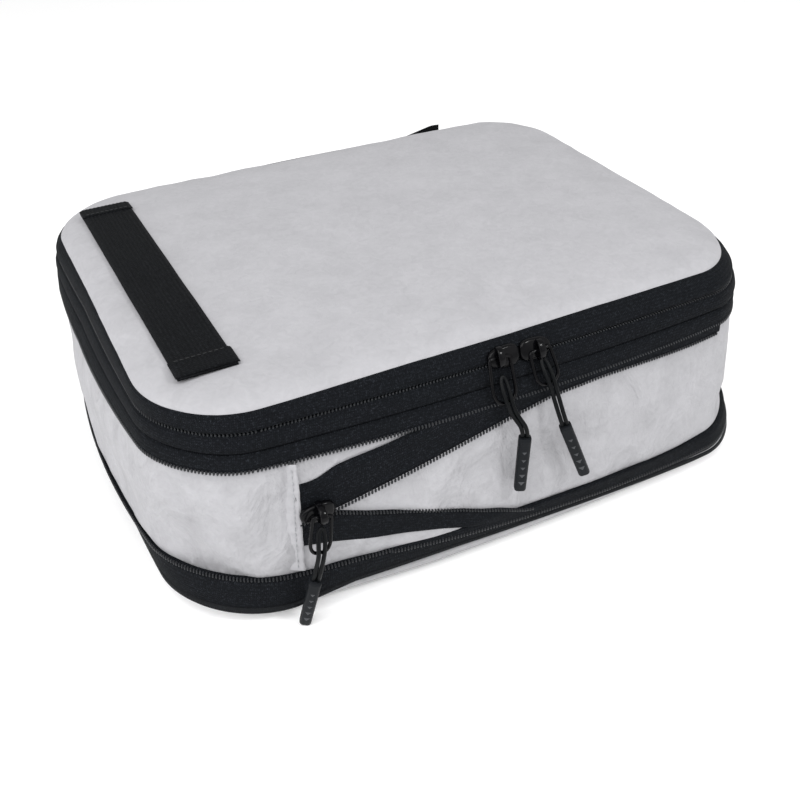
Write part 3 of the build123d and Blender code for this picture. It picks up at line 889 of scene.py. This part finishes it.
def grip_marks(name, mouth, axes, grip_length, body):
    """Five small raised triangles down the face of a grip."""
    side_axis, face, g = axes
    marks, faces = [], []
    for k in range(5):
        base = grip_length * (0.22 + 0.145 * k)
        o = len(marks)
        corners = [(-1.35, base, 2.24), (1.35, base, 2.24), (0, base + 1.9, 2.24), (0, base + 0.6, 2.45)]
        for px, pz, ph in corners:
            marks.append(mouth + side_axis * (px * MM) + g * (pz * MM) + face * (ph * MM))
        faces += [(o, o + 1, o + 3), (o + 1, o + 2, o + 3), (o + 2, o, o + 3)]
    finish_mesh(name, marks, faces, MARK, body=body, slot="pull_rubber", smooth=False)


HOOP_WIRE = 0.00072  # radius of the hoop's wire
CORD_RADIUS = 0.00088
GRIP_TURN = math.radians(24)  # each grip is turned about its own length


def runner(name, wall_normal, plate_centre, cord, lifts, grip_axis, grip_length, spread=1.0):
    """Slider, hoop, cord and grip of one zip pull, from the joints of the frame.

    cord is its swing from the hoop's line and its drop; lifts move the hoop's top, its lower bar
    and the grip up the wall, and the grip sideways (mm).
    """
    slider_body, hoop_body, pull_body = (f"{name}_{k}_body" for k in ("slider", "hoop", "pull"))
    centre = Vector(plate_centre)
    n = Vector(wall_normal).normalized()
    x = Vector((1, 0, 0))
    up = n.cross(x)
    pivot = Vector(JOINT[f"hoop_{name}"]["pos_m"])
    lower = Vector(JOINT[f"pull_{name}"]["pos_m"])
    down = (lower - pivot).normalized()
    bar = -Vector(JOINT[f"hoop_{name}"]["axis"]).normalized()
    swing, drop = math.radians(cord[0]), cord[1] * MM
    hang = (down * math.cos(swing) + bar * math.sin(swing)) * drop
    mouth = lower + hang + up * lifts[2] * MM + x * lifts[3] * MM
    pivot = pivot + up * lifts[0] * MM
    lower = lower + up * lifts[1] * MM
    down = (lower - pivot).normalized()
    bar = (bar - down * bar.dot(down)).normalized()
    out = bar.cross(down).normalized()
    if out.y > 0:
        out = -out

    flip = -1 if name == "right" else 1
    levels = ((-0.6, -0.5), (-0.2, 0), (0.9, 0), (1.5, -0.35), (1.8, -1.2))
    plate = solid(
        f"{name}_slider_plate", [(h, slider_outline(grow, flip)) for h, grow in levels],
        (x, up, n), centre, METAL, slider_body, "slider_metal",
    )
    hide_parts(f"{name}_slider")
    slider_crown(f"{name}_slider_crown", centre, pivot, (x, up, n), slider_body)

    long = (lower - pivot).length / MM
    corners = [
        (0, 0), (2.6, 0), (4.5, -0.2), (4.7, -1.8), (4.9, -long * 0.35), (5.1, -long * 0.62),
        (4.9, -long * 0.86), (2.9, -long - 0.3),
    ]
    corners = [(a * spread, b) for a, b in corners]
    loop = corners + [(0, -long - 0.4)] + [(-a, b) for a, b in reversed(corners[1:])]
    line = [pivot + bar * (a * MM) - down * (b * MM) for a, b in loop]
    wire = tube(f"{name}_pull_hoop", line, HOOP_WIRE, METAL, hoop_body, closed=True)
    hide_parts(f"{name}_hoop")

    g = Vector(grip_axis).normalized()
    run = (mouth - lower).normalized()
    flat_side = (bar - g * bar.dot(g)).normalized()
    flat_face = g.cross(flat_side).normalized()
    if flat_face.y > 0:
        flat_face = -flat_face
    side_axis = flat_side * math.cos(GRIP_TURN) + flat_face * math.sin(GRIP_TURN)
    face = flat_face * math.cos(GRIP_TURN) - flat_side * math.sin(GRIP_TURN)

    # one strand from the grip up to the hoop, then the other strand beside it
    half_path = [
        mouth + g * 0.0015 + side_axis * 0.00092,
        mouth - g * 0.0035 + side_axis * 0.00092 + out * 0.0002,
        lower + run * 0.0065 + side_axis * 0.0010 + out * 0.0012,
        lower + run * 0.0010 + bar * 0.0011 + out * 0.0020,
        lower - down * 0.004 + bar * 0.0014 + out * 0.0014,
        lower - down * 0.0085 + bar * 0.0012 + out * 0.0002,
    ]
    across_cord = [side_axis, side_axis, side_axis, bar, bar, bar]
    half_gap = [0.00092, 0.00092, 0.0010, 0.0011, 0.0014, 0.0012]
    other = [p - d * (2 * w) for p, d, w in zip(half_path, across_cord, half_gap)]
    path = other + [lower - down * 0.0105 - out * 0.0002] + half_path[::-1]
    string = tube(f"{name}_pull_cord", path, CORD_RADIUS, CORD, pull_body)
    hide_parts(f"{name}_cord")

    outline = []
    for h, w, d in (
        (0, 2.2, 1.9), (0.15, 2.45, 2.2), (1.2, 2.5, 2.3), (grip_length * 0.5, 2.45, 2.3),
        (grip_length - 0.8, 2.4, 2.2), (grip_length - 0.2, 2.25, 2.0), (grip_length, 1.9, 1.6),
    ):
        outline.append((h, rounded(w, d, min(1.5, d * 0.7), 5)))
    axes = (side_axis, face, g)
    grip = solid(f"{name}_pull_grip", outline, axes, mouth, RUBBER, pull_body, "pull_rubber")
    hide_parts(f"{name}_grip")
    grip_marks(f"{name}_grip_marks", mouth, axes, grip_length, pull_body)


def grip_direction(lean, tilt):
    """The way a grip hangs: leaning sideways and standing off the wall, in degrees."""
    a, b = math.radians(lean), math.radians(tilt)
    return (math.sin(a) * math.cos(b), -math.sin(b), -math.cos(a) * math.cos(b))


BAND_NORMAL = (0, -0.92, 0.39)
runner(
    "left", BAND_NORMAL, (-0.0050, -0.1070, 0.0925), cord=(18, 16.5), lifts=(2.9, 3.3, 3.2, 0.9),
    grip_axis=grip_direction(-1, -1), grip_length=27.0,
)
runner(
    "right", BAND_NORMAL, (0.0093, -0.1070, 0.0922), cord=(5, 16.5), lifts=(1.4, 5.7, 2.9, 0.7),
    grip_axis=grip_direction(21, 6), grip_length=28.5,
)
runner(
    "compression", (0, -1, 0), (-0.0880, -0.1136, 0.0520), cord=(0, 9), lifts=(-1, 2, -2, -1.5),
    grip_axis=grip_direction(-9.5, -11), grip_length=27.0, spread=0.82,
)

# ------------------------------------------------------------ seam bindings, and pieces kept from CAD

for name, low_z, high_z, inset, body in (
    ("bottom", 3, 9, 9.5, "base"), ("upper", 79, 82.8, 1.7, "upper"), ("lid", 94, 97.4, 1.8, "lid"),
):
    deep = -inset - 0.8
    outline = [(low_z, -inset), (low_z, deep), (high_z, deep), (high_z, -inset), (low_z, -inset)]
    binding = band(f"{name}_binding", outline, EDGE, body=body, slot="zip_tape")
    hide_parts(f"{name}_seam_binding")

KEPT = {"lid_hinge_cord": EDGE, "main_zip_stops": METAL, "start_stop": METAL}
for name, material in KEPT.items():
    o = frame["nodes"][name]
    for s in o.material_slots:
        s.material = material

pale_floor = start_material(
    "pale_floor", (0.95, 0.95, 0.95), 0.95, Emission_Color=(1, 1, 1, 1), Emission_Strength=0.1
)[0]
floor = finish_mesh(
    "floor", [(-6, -6, -0.0002), (6, -6, -0.0002), (6, 6, -0.0002), (-6, 6, -0.0002)], [(0, 1, 2, 3)],
    pale_floor, smooth=False,
)
